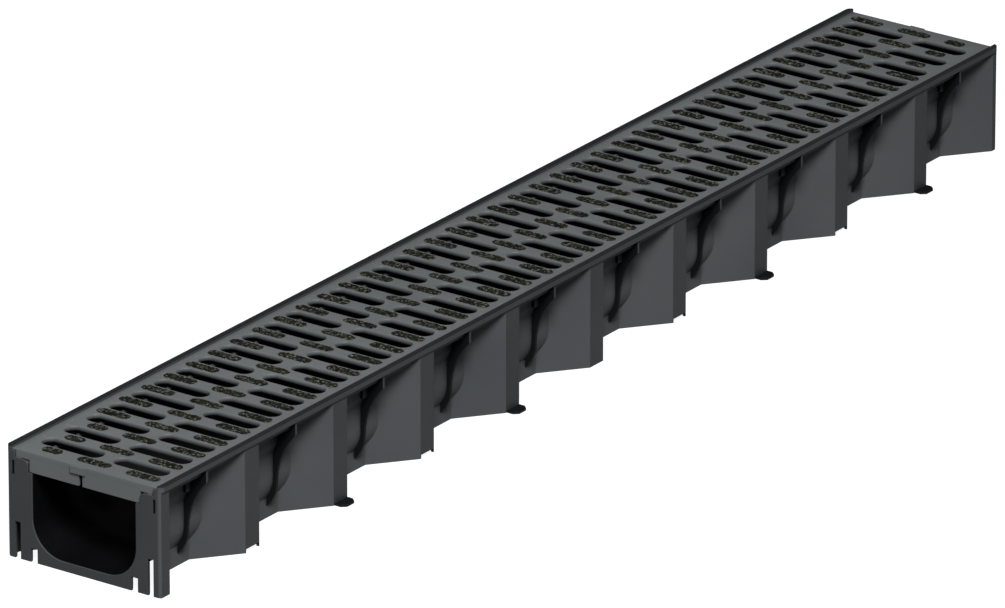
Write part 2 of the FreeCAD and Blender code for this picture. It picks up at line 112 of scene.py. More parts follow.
def spot(name, description, default):
    """A place or a shift in metres that a user can change."""
    return bpy.props.FloatVectorProperty(
        name=name, description=description, default=default, size=len(default), unit="LENGTH"
    )


def colour(name, description, default):
    """A colour that a user can change."""
    return bpy.props.FloatVectorProperty(
        name=name, description=description, default=default, subtype="COLOR", size=3, min=0.0, max=1.0
    )


class DrainageBodySizes(bpy.types.PropertyGroup):
    """Places on the channel body that its finishes follow."""

    # Where the painted shade lies in the waterway and on its ledges and seats
    floor_half: length("Waterway floor", "Half the width of the waterway's flat floor", 0.01825)
    round_middle: length("Rounding height", "Height of the middle of the waterway's rounded corners", 0.0315)
    round_radius: length("Rounding", "Radius of the waterway's rounded corners", 0.0255)
    waterway_top: length("Waterway top", "Height of the waterway's upper edge above the ground", 0.0630)
    waterway_end: length("Waterway end", "Distance from the middle to the waterway's ends", 0.4985)
    ledge_half: length("Ledge half width", "Half the width over the ledges above the waterway", 0.0467)
    ledge_foot: length("Ledge foot", "Height where the ledges start", 0.0632)
    ledge_top: length("Ledge top", "Height where the ledges end", 0.0722)
    seat_half: length("Seat half width", "Half the width over the dark part of the seats", 0.0528)
    seat_foot: length("Seat foot", "Height where the seats start", 0.0716)
    seat_top: length("Seat top", "Height where the seats end", 0.0730)
    wall_end: length("End wall", "Distance from the middle to the end walls", 0.4965)
    side: length("Side", "Distance from the middle to the wings' outer flats", 0.0634)
    # Where the painted shade on the gussets lies
    first_gusset: length("First gusset", "Place of the first gusset along the channel", -0.4477)
    gusset_pitch: length("Gusset pitch", "Distance from one gusset to the next", 0.100)
    gusset_half: length("Gusset half wall", "Half the gussets' thickness, with a margin", 0.0012)
    gusset_inside: length("Gusset inside", "Distance from the middle to the wings' inner walls", 0.0393)
    gusset_top: length("Gusset top", "Height up to which the gussets' edges are dark", 0.0632)
    lug_side: length("Lug side", "Distance from the middle to where the lugs stand out", 0.0636)
    lug_top: length("Lug top", "Height of the lugs' tops above the ground", 0.0020)
    rim_top: length("Rim top", "Height from which the rims are worn", 0.0792)
    # How far the painted shade in the hollows reaches, and how dark it gets
    bay_reach: length("Bay reach", "How far away a wall still shades a hollow", 0.045)
    bay_darkest: number("Darkest bay", "How bright the deepest hollows are", 0.10)
    # How far the outer faces are laid over with painted shade
    outer_share: number("Outer share", "How far the outer faces are shaded", 0.34)


class DrainageGratingSizes(bpy.types.PropertyGroup):
    """Sizes of the slotted grating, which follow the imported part."""

    pitch: length("Slot pitch", "Distance from one row of slots to the next", 0.025)
    rows: count_of("Slot rows", "Rows of slots along the grating", 39)
    slot_width: length("Slot width", "Width of each slot along the channel", 0.013)
    slot_reach: length("Slot reach", "Distance across both slots of a row", 0.1036)
    web_width: length("Web width", "Width of the web between the two slots of a row", 0.0105)
    web_offset: length("Web offset", "How far the web lies from the middle, to either side in turn", 0.0028)
    plate: length("Plate", "Thickness of the plate", 0.0035)
    top: length("Top", "Height of the plate's top above the ground", 0.0784)
    lip: length("Seated half width", "Half the width of the edge that sits between the lips", 0.0571)
    flange: length("Flange half width", "Half the width over the thin flanges", 0.0604)
    flange_wall: length("Flange wall", "Thickness of the thin flanges", 0.0009)
    land: length("Land", "Half the distance between the thick edges", 0.0525)
    seat: length("Seat", "Height of the seat that the thick edges rest on", 0.0725)
    near: length("Near end", "Place of the grating's near end along the channel", -0.4985)
    far: length("Far end", "Place of the grating's far end along the channel", 0.4985)
    skirt: length("Skirt half width", "Half the width of the end skirts and ribs", 0.046)
    skirt_wall: length("Skirt wall", "Thickness of the end skirts", 0.0023)
    skirt_foot: length("Skirt foot", "Height of the skirts' lower edge above the ground", 0.0641)
    arm_foot: length("Arm foot", "Height of the skirt arms' lower edge above the ground", 0.0728)
    rib_wall: length("Rib wall", "Thickness of the ribs under the bars", 0.0024)
    rib_foot: length("Rib foot", "Height of the ribs' lower edge above the ground", 0.0653)
    coupling: length("Coupling", "How far the coupling lies from the middle", 0.005)
    coupling_half: length("Coupling half width", "Half the width of the tongue and socket", 0.006)
    socket_foot: length("Socket foot", "Height of the socket's lower edge above the ground", 0.0729)
    socket_top: length("Socket top", "Height of the socket's upper edge above the ground", 0.0779)
    tongue_foot: length("Tongue foot", "Height of the tongue's lower edge above the ground", 0.0734)
    tongue_top: length("Tongue top", "Height of the tongue's upper edge above the ground", 0.0782)
    slit_low: length("Slit's start", "Place across the channel where the skirt's slit starts", 0.0019)
    slit_high: length("Slit's end", "Place across the channel where the skirt's slit ends", 0.0049)
    slot_round: length("Slot rounding", "Radius of the rounded upper edges of the slots", 0.0006)
    edge_round: length("Edge rounding", "Radius of the rounded outer edges", 0.0005)
    # Where the painted shade in the slots and under the grating lies
    shade_foot: length("Shade foot", "Height above the plate's underside where the slots are darkest", 0.0004)
    shade_height: length("Shade height", "Height over which the slots' walls darken", 0.0022)
    shade_end: length("Shade end", "Distance from the middle to the end of the dark underside", 0.4965)


class DrainageGripSizes(bpy.types.PropertyGroup):
    """Sizes of the gritty grip pads."""

    width: length("Width", "Width of a pad along the channel", 0.0078)
    long: length("Length", "Length of a full pad across the channel", 0.0264)
    short: length("Short length", "Length of a short pad by two opposite corners", 0.0155)
    spread: length("Spread", "Distance from the middle pads to the outer ones", 0.0404)
    height: length("Height", "Height of a pad above the plate", 0.0005)
    root: length("Root", "How far a pad's sides reach into the plate", 0.0003)
    corner: length("Corner", "Radius of a pad's corners", 0.0030)
    ragged: length("Ragged edge", "How far a pad's outline strays", 0.0004)
    step: length("Step", "Distance between the points of a pad's mesh", 0.00072)
    grain: length("Grain", "Size of one grain of grit", 0.0013)
    relief: length("Relief", "Depth of the gaps between the grains", 0.0009)
    short_rows: count_of("Short rows", "Rows by each corner with a short pad", 3)


class DrainageFinish(bpy.types.PropertyGroup):
    """Colours of the finishes."""

    body: colour("Body", "Charcoal plastic of the channel", (0.053, 0.057, 0.0615))
    body_pale: colour("Body, pale flow", "Paler flow marks in the channel", (0.070, 0.0745, 0.079))
    # Near-black of the painted shade on the gussets and, part way, on the outer faces; the lug tops get it
    # too
    bay: colour("Bay", "Shaded plastic of the gussets and lugs", (0.005, 0.0055, 0.0065))
    rim: colour("Rim top", "Darker, worn top of the rims", (0.014, 0.015, 0.016))
    grating: colour("Grating", "Grey plastic of the grating", (0.098, 0.105, 0.1065))
    grating_pale: colour("Grating, pale flow", "Paler flow marks in the grating", (0.1175, 0.1255, 0.129))
    # Painted shade: near-black laid in the waterway, on the ledges and seats, and low in the grating's slots
    # and underside
    painted_deep_shade: colour("Painted deep shade", "Dark waterway and underside of the grating", (0.0015, 0.0015, 0.002))
    grit: colour("Grit", "Dark olive of the grip pads", (0.0090, 0.0092, 0.0062))
    grit_pale: colour("Grit, pale grains", "Paler grains in the grip pads", (0.105, 0.105, 0.086))


class DrainageStageSettings(bpy.types.PropertyGroup):
    """The floor, the lamps and the camera."""

    floor: colour("Floor", "Colour of the floor", (0.20, 0.20, 0.20))
    floor_glow: number("Floor glow", "How bright the camera sees the floor, before light and shadow", 0.93)
    floor_mirrored: number("Mirrored floor", "How bright the floor is in reflections", 0.15)
    sky: number("Sky", "Strength of the even light from all round", 0.09)
    key: number("Key lamp", "Power of the high lamp on the camera's side, in watts", 270.0)
    key_place: spot("Key lamp's place", "Where the key lamp hangs", (-2.44, -2.05, 3.18))
    key_size: length("Key lamp's size", "Width of the key lamp", 1.2)
    fill: number("Fill lamp", "Power of the low lamp behind, in watts", 110.0)
    fill_place: spot("Fill lamp's place", "Where the fill lamp stands", (2.6, 3.2, 1.0))
    fill_size: length("Fill lamp's size", "Width of the fill lamp", 2.0)
    azimuth: angle("Azimuth", "Camera's turn round the channel", -54.54)
    elevation: angle("Elevation", "Camera's height above the horizon", 22.12)
    distance: length("Distance", "Camera's distance from the middle of the channel", 9.716)
    lens: number("Lens", "Focal length in millimetres", 503.6)
    slide: spot("Slide", "Camera's shift to the left and down", (0.0119, 0.0087))


def select_only(*pieces):
    """Selects some objects and nothing else, the first of them active."""
    bpy.ops.object.select_all(action="DESELECT")
    for piece in pieces:
        piece.select_set(True)
    bpy.context.view_layer.objects.active = pieces[0]


def settle(piece):
    """Puts a piece's place, turn and size into its mesh."""
    select_only(piece)
    bpy.ops.object.transform_apply(location=True, rotation=True, scale=True)


def block(name, low, high):
    """A box between two corners, as the start of a piece."""
    bpy.ops.object.select_all(action="DESELECT")
    middle = [(a + b) / 2 for a, b in zip(low, high)]
    bpy.ops.mesh.primitive_cube_add(size=1, location=middle, scale=[b - a for a, b in zip(low, high)])
    piece = bpy.context.active_object
    piece.name = name
    piece.data.name = name
    settle(piece)
    return piece


def pick(piece, kind, wanted):
    """In edit mode, selects the vertices, edges or faces that fit a test."""
    bpy.ops.mesh.select_mode(type=kind)
    bpy.ops.mesh.select_all(action="DESELECT")
    mesh = bmesh.from_edit_mesh(piece.data)
    mesh.normal_update()
    items = {"VERT": mesh.verts, "EDGE": mesh.edges, "FACE": mesh.faces}[kind]
    chosen = [item for item in items if wanted(item)]
    if not chosen:
        raise RuntimeError(f"nothing of {piece.name} fits the choice of {kind.lower()}s")
    for item in chosen:
        item.select_set(True)
    bmesh.update_edit_mesh(piece.data)


def apply_modifier(piece, kind, **settings):
    """Adds one modifier to a piece and applies it."""
    select_only(piece)
    modifier = piece.modifiers.new(kind.title(), kind)
    for key, value in settings.items():
        setattr(modifier, key, value)
    bpy.ops.object.modifier_apply(modifier=modifier.name)


def cut(piece, cutter):
    """Cuts one piece's shape out of another and discards the cutter."""
    apply_modifier(piece, "BOOLEAN", object=cutter, operation="DIFFERENCE", solver="EXACT")
    bpy.data.objects.remove(cutter)


def row(piece, spacing, count):
    """Repeats a piece along the channel in one mesh."""
    apply_modifier(
        piece, "ARRAY", count=count, use_relative_offset=False, use_constant_offset=True,
        constant_offset_displace=(spacing, 0.0, 0.0), use_merge_vertices=True, merge_threshold=SAME,
    )


def merge_pieces(*pieces):
    """Joins pieces into the first of them."""
    select_only(*pieces)
    bpy.ops.object.join()
    return pieces[0]


def finish_piece(piece, material, slot, *stands_for):
    """Gives a piece its material and its body, and hides the imported parts that it stands for."""
    piece.data.materials.clear()
    piece.data.materials.append(material)
    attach(piece, "root")
    if stands_for:
        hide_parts(*stands_for)


def new_material(name):
    """A material with only its shader and output."""
    material = bpy.data.materials.new(name)
    material.use_nodes = True
    tree = material.node_tree
    return material, tree, tree.nodes["Principled BSDF"]


def noise(tree, scale, detail=3.0):
    """Noise on object coordinates, with a size in cycles per metre."""
    place = tree.nodes.new("ShaderNodeTexCoord")
    texture = tree.nodes.new("ShaderNodeTexNoise")
    texture.inputs["Scale"].default_value = scale
    texture.inputs["Detail"].default_value = detail
    tree.links.new(place.outputs["Object"], texture.inputs["Vector"])
    return texture.outputs["Fac"]


def ramp(tree, factor, *stops):
    """A ramp of colours at places from 0 to 1."""
    node = tree.nodes.new("ShaderNodeValToRGB")
    while len(node.color_ramp.elements) < len(stops):
        node.color_ramp.elements.new(0.5)
    for element, (place, shade) in zip(node.color_ramp.elements, stops):
        element.position = place
        element.color = (*shade, 1.0)
    tree.links.new(factor, node.inputs["Fac"])
    return node.outputs["Color"]


def stretch(tree, value, start, end, first, last):
    """A number that runs from first to last while another runs from start to end."""
    node = tree.nodes.new("ShaderNodeMapRange")
    limits = {"From Min": start, "From Max": end, "To Min": first, "To Max": last}
    for socket, limit in limits.items():
        node.inputs[socket].default_value = limit
    tree.links.new(value, node.inputs["Value"])
    return node.outputs["Result"]


def fade(tree, value, start, end):
    """1 where a number is at start or below it, 0 from end on, even between."""
    return stretch(tree, value, start, end, 1.0, 0.0)


def rise(tree, value, start, end):
    """0 where a number is at start or below it, 1 from end on, even between."""
    return stretch(tree, value, start, end, 0.0, 1.0)


def calculate(tree, operation, first, second=None):
    """One sum on numbers or sockets."""
    node = tree.nodes.new("ShaderNodeMath")
    node.operation = operation
    for socket, value in zip(node.inputs, (first, second)):
        if value is None:
            continue
        if isinstance(value, (int, float)):
            socket.default_value = value
        else:
            tree.links.new(value, socket)
    return node.outputs[0]


def both(tree, first, second):
    """1 where two masks are both 1."""
    return calculate(tree, "MULTIPLY", first, second)


def either(tree, first, second):
    """1 where one of two masks is 1."""
    return calculate(tree, "MAXIMUM", first, second)


def size_of(tree, value):
    """A number without its sign."""
    return calculate(tree, "ABSOLUTE", value)


def object_place(tree):
    """The three object coordinates, each as a number."""
    place = tree.nodes.new("ShaderNodeTexCoord")
    parts = tree.nodes.new("ShaderNodeSeparateXYZ")
    tree.links.new(place.outputs["Object"], parts.inputs[0])
    return parts.outputs["X"], parts.outputs["Y"], parts.outputs["Z"]


def trough_mask(tree, flat, middle_height, radius, top, reach, soft=TOP_SOFT):
    """1 within a trough with rounded corners that runs along the channel, 0 outside it."""
    along, across, height = object_place(tree)
    past_flat = calculate(tree, "SUBTRACT", size_of(tree, across), flat)
    past_flat = calculate(tree, "MAXIMUM", past_flat, 0.0)
    below = calculate(tree, "SUBTRACT", middle_height, height)
    below = calculate(tree, "MAXIMUM", below, 0.0)
    across_square = calculate(tree, "MULTIPLY", past_flat, past_flat)
    down_square = calculate(tree, "MULTIPLY", below, below)
    away = calculate(tree, "SQRT", calculate(tree, "ADD", across_square, down_square))
    section = fade(tree, away, radius, radius + SECTION_SOFT)
    under = fade(tree, height, top, top + soft)
    within = fade(tree, size_of(tree, along), reach, reach + END_SOFT)
    return both(tree, section, both(tree, under, within))


def facing_mask(tree, axis):
    """1 on faces that look along one object axis, 0 elsewhere."""
    place = tree.nodes.new("ShaderNodeTexCoord")
    facing = tree.nodes.new("ShaderNodeSeparateXYZ")
    tree.links.new(place.outputs["Normal"], facing.inputs[0])
    return rise(tree, size_of(tree, facing.outputs[axis]), 0.95, 0.99)


def cross_wall_mask(tree, reach):
    """1 on walls that stand across the channel between its ends, 0 elsewhere."""
    along = object_place(tree)[0]
    between = fade(tree, size_of(tree, along), reach, reach + END_SOFT)
    return both(tree, facing_mask(tree, "X"), between)


def outer_face_mask(tree, reach, half_width):
    """1 on the end faces and on the outermost faces of both sides, 0 elsewhere."""
    along, across = object_place(tree)[:2]
    past_end = rise(tree, size_of(tree, along), reach, reach + END_SOFT)
    past_side = rise(tree, size_of(tree, across), half_width - EDGE_SOFT, half_width)
    ends = both(tree, facing_mask(tree, "X"), past_end)
    sides = both(tree, facing_mask(tree, "Y"), past_side)
    return either(tree, ends, sides)


def gusset_mask(tree, sizes):
    """1 on the gussets outside the wings' inner walls, 0 elsewhere."""
    along, across, height = object_place(tree)
    past_first = calculate(tree, "SUBTRACT", along, sizes.first_gusset)
    astray = calculate(tree, "PINGPONG", past_first, sizes.gusset_pitch / 2)
    near = fade(tree, astray, sizes.gusset_half, sizes.gusset_half + GUSSET_SOFT)
    outside = rise(tree, size_of(tree, across), sizes.gusset_inside, sizes.gusset_inside + SECTION_SOFT)
    under = fade(tree, height, sizes.gusset_top, sizes.gusset_top + END_SOFT)
    return both(tree, near, both(tree, outside, under))


def lug_mask(tree, sizes):
    """1 on the foot lugs beside the wings, 0 elsewhere."""
    across, height = object_place(tree)[1:]
    beside = rise(tree, size_of(tree, across), sizes.lug_side, sizes.lug_side + EDGE_SOFT)
    return both(tree, beside, fade(tree, height, sizes.lug_top, sizes.lug_top + EDGE_SOFT))


def waterway_mask(tree, sizes):
    """1 in the waterway and on the ledges and seats above it, 0 elsewhere."""
    height = object_place(tree)[2]
    mask = trough_mask(
        tree, sizes.floor_half, sizes.round_middle, sizes.round_radius, sizes.waterway_top, sizes.waterway_end
    )
    ledges = (
        (sizes.ledge_half, sizes.ledge_foot, sizes.ledge_top),
        (sizes.seat_half, sizes.seat_foot, sizes.seat_top),
    )
    for half_width, foot, top in ledges:
        raised = rise(tree, height, foot, foot + EDGE_SOFT)
        ledge = trough_mask(tree, half_width, 0.0, 0.0, top, sizes.waterway_end)
        mask = either(tree, mask, both(tree, ledge, raised))
    return mask


def tint(tree, factor, under, over):
    """A colour laid over another by a mask."""
    mix = tree.nodes.new("ShaderNodeMix")
    mix.data_type = "RGBA"
    tree.links.new(factor, mix.inputs["Factor"])
    tree.links.new(under, mix.inputs["A"])
    mix.inputs["B"].default_value = (*over, 1.0)
    return mix.outputs["Result"]


def hollow_shade(tree, under, reach, darkest):
    """Painted shade: a colour that darkens in hollows, such as the bays between the wings, where shade falls.
    """
    hollow = tree.nodes.new("ShaderNodeAmbientOcclusion")
    hollow.samples = 12
    hollow.only_local = True
    hollow.inputs["Distance"].default_value = reach
    depth = ramp(tree, hollow.outputs["AO"], (0.25, (darkest,) * 3), (0.78, (1.0, 1.0, 1.0)))
    mix = tree.nodes.new("ShaderNodeMix")
    mix.data_type = "RGBA"
    mix.blend_type = "MULTIPLY"
    mix.inputs["Factor"].default_value = 1.0
    tree.links.new(under, mix.inputs["A"])
    tree.links.new(depth, mix.inputs["B"])
    return mix.outputs["Result"]


def moulded_plastic(name, deep, pale, roughness, edge, shine):
    """Matte moulded plastic with flow marks, a fine grain and eased edges, its colour not yet linked."""
    material, tree, shader = new_material(name)
    flow = ramp(tree, noise(tree, scale=9.0, detail=4.0), (0.30, deep), (0.72, pale))
    sheen = stretch(tree, noise(tree, scale=160.0), 0.0, 1.0, roughness - 0.06, roughness + 0.06)
    tree.links.new(sheen, shader.inputs["Roughness"])
    shader.inputs["IOR"].default_value = 1.48
    shader.inputs["Specular IOR Level"].default_value = shine
    eased = tree.nodes.new("ShaderNodeBevel")
    eased.samples = 4
    eased.inputs["Radius"].default_value = edge
    grain = tree.nodes.new("ShaderNodeBump")
    grain.inputs["Strength"].default_value = 0.10
    grain.inputs["Distance"].default_value = 0.0002
    tree.links.new(noise(tree, scale=2200.0, detail=2.0), grain.inputs["Height"])
    tree.links.new(eased.outputs["Normal"], grain.inputs["Normal"])
    tree.links.new(grain.outputs["Normal"], shader.inputs["Normal"])
    return material, tree, shader, flow


def bonded_grit(name, deep, pale):
    """Rough grains bonded to the plate: dark olive with paler grains and dark gaps."""
    material, tree, shader = new_material(name)
    place = tree.nodes.new("ShaderNodeTexCoord")
    grains = tree.nodes.new("ShaderNodeTexVoronoi")
    grains.inputs["Scale"].default_value = 750.0
    tree.links.new(place.outputs["Object"], grains.inputs["Vector"])
    split = tree.nodes.new("ShaderNodeSeparateColor")
    tree.links.new(grains.outputs["Color"], split.inputs[0])
    gap = tuple(0.12 * part for part in deep)
    olive = tuple(2.2 * part for part in deep)
    shade = ramp(tree, split.outputs[0], (0.25, gap), (0.45, deep), (0.80, olive), (0.97, pale))
    tree.links.new(shade, shader.inputs["Base Color"])
    shader.inputs["Roughness"].default_value = 0.75
    shader.inputs["Specular IOR Level"].default_value = 0.15
    bump = tree.nodes.new("ShaderNodeBump")
    bump.invert = True
    bump.inputs["Strength"].default_value = 0.6
    bump.inputs["Distance"].default_value = 0.0004
    tree.links.new(grains.outputs["Distance"], bump.inputs["Height"])
    tree.links.new(bump.outputs["Normal"], shader.inputs["Normal"])
    return material


class DRAINAGE_OT_dress_body(bpy.types.Operator):
    """Gives the channel body its charcoal plastic, with painted shade in its hollows, bays, outer faces and
    waterway
    """

    bl_idname = "drainage.dress_body"
    bl_label = "Dress the body"

    def execute(self, context):
        sizes = context.scene.drainage_body
        finish = context.scene.drainage_finish
        bay = tuple(finish.bay)
        material, tree, shader, flow = moulded_plastic(
            "charcoal_plastic", tuple(finish.body), tuple(finish.body_pale),
            roughness=0.52, edge=0.0005, shine=0.18,
        )
        # Painted shade: the body's colour darkens in its hollows by ambient occlusion
        shade = hollow_shade(tree, flow, sizes.bay_reach, sizes.bay_darkest)
        # Painted shade: the end faces and the wings' outer flats are laid part way over with the near-black
        # bay colour
        outer = outer_face_mask(tree, sizes.wall_end, sizes.side)
        shade = tint(tree, calculate(tree, "MULTIPLY", outer, sizes.outer_share), shade, bay)
        # Painted shade: the gussets and the other cross walls between the ends get the near-black bay colour
        gussets = either(tree, gusset_mask(tree, sizes), cross_wall_mask(tree, sizes.wall_end))
        shade = tint(tree, gussets, shade, bay)
        # Painted shade: near-black inside the waterway and on the ledges and seats above it
        shade = tint(tree, waterway_mask(tree, sizes), shade, tuple(finish.painted_deep_shade))
        # The lug tops are laid over with the same near-black colour
        shade = tint(tree, lug_mask(tree, sizes), shade, bay)
        # The rims' tops, from rim_top up, are laid over with a darker colour
        darkened = rise(tree, object_place(tree)[2], sizes.rim_top, sizes.rim_top + EDGE_SOFT)
        shade = tint(tree, darkened, shade, tuple(finish.rim))
        tree.links.new(shade, shader.inputs["Base Color"])
        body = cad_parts["channel_body"]
        body.data.materials.clear()
        body.data.materials.append(material)
        return {"FINISHED"}


class DRAINAGE_OT_build_grating(bpy.types.Operator):
    """Models the slotted grating with rounded slots, end skirts, ribs and couplings"""

    bl_idname = "drainage.build_grating"
    bl_label = "Build the grating"

    def slot_cutter(self, sizes, low, high):
        """A round-ended bar between two places across the channel."""
        bpy.ops.object.select_all(action="DESELECT")
        facets = 32
        middle = (low + high) / 2
        bpy.ops.mesh.primitive_cylinder_add(
            vertices=facets, radius=sizes.slot_width / 2, depth=6 * sizes.plate,
            location=(0.0, middle, sizes.top), rotation=(0.0, 0.0, math.pi / facets),
        )
        cutter = bpy.context.active_object
        settle(cutter)
        stretch_by = (high - low - sizes.slot_width) / 2
        bpy.ops.object.mode_set(mode="EDIT")
        for side in (1, -1):
            pick(cutter, "VERT", lambda vert: side * (vert.co.y - middle) > 0)
            bpy.ops.transform.translate(value=(0.0, side * stretch_by, 0.0))
        bpy.ops.object.mode_set(mode="OBJECT")
        return cutter

    def slot_row(self, sizes):
        """One pitch of the plate, with its two slots and both edges, open where the next pitch joins."""
        half = sizes.pitch / 2
        under = sizes.top - sizes.plate
        piece = block("grating_plate", (-half, -sizes.lip, under), (half, sizes.lip, sizes.top))
        bpy.ops.object.mode_set(mode="EDIT")
        flange_under = sizes.top - sizes.flange_wall
        bpy.ops.mesh.select_all(action="SELECT")
        bpy.ops.mesh.bisect(plane_co=(0.0, 0.0, flange_under), plane_no=(0.0, 0.0, 1.0))
        pick(piece, "FACE", lambda f: abs(f.normal.y) > ALONG and f.calc_center_median().z > flange_under)
        bpy.ops.mesh.extrude_region_shrink_fatten(
            TRANSFORM_OT_shrink_fatten={"value": sizes.flange - sizes.lip}
        )
        for side in (1, -1):
            pick(
                piece, "FACE",
                lambda f: f.normal.z < -ALONG and abs(f.calc_center_median().z - under) < SAME,
            )
            bpy.ops.mesh.bisect(plane_co=(0.0, side * sizes.land, 0.0), plane_no=(0.0, 1.0, 0.0))
        pick(
            piece, "FACE",
            lambda f: f.normal.z < -ALONG and sizes.land < abs(f.calc_center_median().y) < sizes.lip,
        )
        bpy.ops.mesh.extrude_region_shrink_fatten(TRANSFORM_OT_shrink_fatten={"value": under - sizes.seat})
        bpy.ops.object.mode_set(mode="OBJECT")
        web_low = -sizes.web_offset - sizes.web_width / 2
        web_high = -sizes.web_offset + sizes.web_width / 2
        cut(piece, self.slot_cutter(sizes, web_high, sizes.slot_reach / 2))
        cut(piece, self.slot_cutter(sizes, -sizes.slot_reach / 2, web_low))
        bpy.ops.object.mode_set(mode="EDIT")
        pick(
            piece, "EDGE",
            lambda e: all(abs(v.co.z - sizes.top) < SAME for v in e.verts)
            and len(e.link_faces) == 2
            and min(abs(f.normal.z) for f in e.link_faces) < ASIDE
            and all(abs(v.co.x) < half - CLOSE for v in e.verts),
        )
        bpy.ops.mesh.bevel(offset=sizes.slot_round, segments=3, affect="EDGES")
        pick(
            piece, "FACE",
            lambda f: abs(f.normal.x) > ALONG and abs(f.calc_center_median().x) > half - CLOSE,
        )
        bpy.ops.mesh.delete(type="FACE")
        bpy.ops.object.mode_set(mode="OBJECT")
        return piece

    def plate(self, sizes):
        """The whole plate: rows of slots whose webs lie to either side in turn, closed at both ends."""
        piece = self.slot_row(sizes)
        select_only(piece)
        bpy.ops.object.duplicate()
        turned = bpy.context.active_object
        turned.rotation_euler.z = math.pi
        turned.location.x = sizes.pitch
        settle(turned)
        merge_pieces(piece, turned)
        row(piece, 2 * sizes.pitch, (sizes.rows + 1) // 2)
        first = -sizes.pitch * (sizes.rows - 1) / 2
        piece.location.x = first
        settle(piece)
        bpy.ops.object.mode_set(mode="EDIT")
        bpy.ops.mesh.select_all(action="SELECT")
        bpy.ops.mesh.remove_doubles(threshold=SAME)
        slots_end = -first + sizes.pitch / 2
        bpy.ops.mesh.bisect(plane_co=(slots_end, 0.0, 0.0), plane_no=(1.0, 0.0, 0.0), clear_outer=True)
        for slotted, end in ((-slots_end, sizes.near), (slots_end, sizes.far)):
            pick(
                piece, "EDGE",
                lambda e: e.is_boundary and all(abs(v.co.x - slotted) < CLOSE for v in e.verts),
            )
            bpy.ops.mesh.extrude_region_move(TRANSFORM_OT_translate={"value": (end - slotted, 0.0, 0.0)})
            bpy.ops.mesh.edge_face_add()
        pick(
            piece, "EDGE",
            lambda e: all(abs(v.co.z - sizes.top) < SAME for v in e.verts)
            and (
                all(abs(abs(v.co.y) - sizes.flange) < SAME for v in e.verts)
                or all(min(abs(v.co.x - sizes.near), abs(v.co.x - sizes.far)) < SAME for v in e.verts)
            ),
        )
        bpy.ops.mesh.bevel(offset=sizes.edge_round, segments=2, affect="EDGES")
        bpy.ops.mesh.select_all(action="SELECT")
        bpy.ops.mesh.normals_make_consistent(inside=False)
        bpy.ops.object.mode_set(mode="OBJECT")
        return piece

    def skirts(self, sizes):
        """The end skirts with an arm on either side, and a slit through the near one."""
        under = sizes.top - sizes.plate
        pieces = []
        near_wall = (sizes.near, sizes.near + sizes.skirt_wall)
        far_wall = (sizes.far - sizes.skirt_wall, sizes.far)
        for start, end in (near_wall, far_wall):
            pieces.append(block("skirt", (start, -sizes.skirt, sizes.skirt_foot), (end, sizes.skirt, under)))
            for low, high in ((-sizes.land, -sizes.skirt), (sizes.skirt, sizes.land)):
                pieces.append(block("skirt_arm", (start, low, sizes.arm_foot), (end, high, under)))
        slit_low = (grating_low.x, sizes.slit_low, sizes.skirt_foot - sizes.skirt_wall)
        slit_high = (sizes.near + 3 * sizes.skirt_wall, sizes.slit_high, sizes.socket_foot)
        cut(pieces[0], block("slit", slit_low, slit_high))
        return pieces

    def couplings(self, sizes):
        """The socket at the near end and the tongue at the far end."""
        low_side = sizes.coupling - sizes.coupling_half
        high_side = sizes.coupling + sizes.coupling_half
        socket = block(
            "socket", (grating_low.x, low_side, sizes.socket_foot),
            (sizes.near + sizes.skirt_wall, high_side, sizes.socket_top),
        )
        tongue = block(
            "tongue", (sizes.far - sizes.skirt_wall, low_side, sizes.tongue_foot),
            (grating_high.x, high_side, sizes.tongue_top),
        )
        return socket, tongue

    def ribs(self, sizes):
        """A rib under each bar between two rows of slots."""
        first = -sizes.pitch * (sizes.rows - 2) / 2
        top = sizes.top - sizes.plate + OVERLAP
        piece = block(
            "rib", (first - sizes.rib_wall / 2, -sizes.skirt, sizes.rib_foot),
            (first + sizes.rib_wall / 2, sizes.skirt, top),
        )
        row(piece, sizes.pitch, sizes.rows - 1)
        return piece

    def execute(self, context):
        sizes = context.scene.drainage_grating
        finish = context.scene.drainage_finish
        piece = self.plate(sizes)
        merge_pieces(piece, *self.skirts(sizes), *self.couplings(sizes), self.ribs(sizes))
        select_only(piece)
        bpy.ops.object.shade_smooth_by_angle(angle=math.radians(32))
        material, tree, shader, flow = moulded_plastic(
            "grey_plastic", tuple(finish.grating), tuple(finish.grating_pale),
            roughness=0.45, edge=0.0004, shine=0.35,
        )
        # Painted shade: the slots' walls darken downwards to near-black, and the grating's underside is
        # near-black
        darkest = sizes.top - sizes.plate + sizes.shade_foot
        underside = trough_mask(tree, sizes.land, 0.0, 0.0, darkest, sizes.shade_end, sizes.shade_height)
        tree.links.new(tint(tree, underside, flow, tuple(finish.painted_deep_shade)), shader.inputs["Base Color"])
        finish_piece(piece, material, "grating_plastic", "grating")
        return {"FINISHED"}


